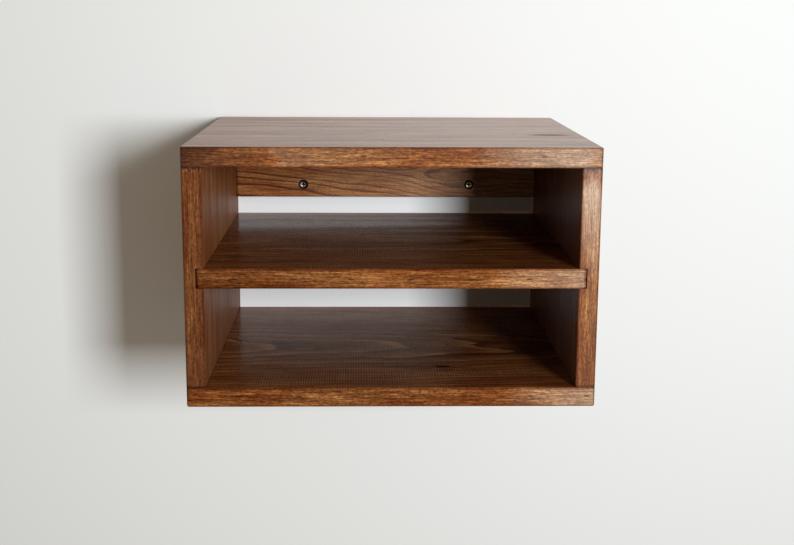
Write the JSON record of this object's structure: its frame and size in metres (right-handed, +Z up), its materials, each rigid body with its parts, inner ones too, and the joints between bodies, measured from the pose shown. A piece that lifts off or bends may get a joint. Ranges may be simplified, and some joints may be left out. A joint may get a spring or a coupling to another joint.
{
  "type": "floating shelf unit",
  "caption": "Wall-hung open box of stained pine boards with a middle shelf housed in the sides, an open back and a rail at the back for the wall screws.",
  "frame": {"origin": "on the wall plane, midway between the two wall screws", "axes": "+X to the right seen from the open front, +Y into the wall, +Z up"},
  "size_m": [0.4, 0.391, 0.255],
  "materials": {
    "stained_pine": "walnut-brown stain, satin wax",
    "stained_pine_rail": "walnut-brown stain, matt",
    "beech_dowel": "bare",
    "zinc_steel": "zinc plated"
  },
  "bodies": {
    "root": {"top_board": "stained_pine", "bottom_board": "stained_pine", "left_side": "stained_pine", "right_side": "stained_pine", "middle_shelf": "stained_pine", "hanging_rail": "stained_pine_rail", "left_wall_screw": "zinc_steel", "right_wall_screw": "zinc_steel", "top_left_dowel_front": "beech_dowel", "bottom_left_dowel_front": "beech_dowel", "top_left_dowel_middle": "beech_dowel", "bottom_left_dowel_middle": "beech_dowel", "top_left_dowel_back": "beech_dowel", "bottom_left_dowel_back": "beech_dowel", "rail_left_dowel_lower": "beech_dowel", "rail_left_dowel_upper": "beech_dowel", "top_right_dowel_front": "beech_dowel", "bottom_right_dowel_front": "beech_dowel", "top_right_dowel_middle": "beech_dowel", "bottom_right_dowel_middle": "beech_dowel", "top_right_dowel_back": "beech_dowel", "bottom_right_dowel_back": "beech_dowel", "rail_right_dowel_lower": "beech_dowel", "rail_right_dowel_upper": "beech_dowel"}
  },
  "joints": []
}
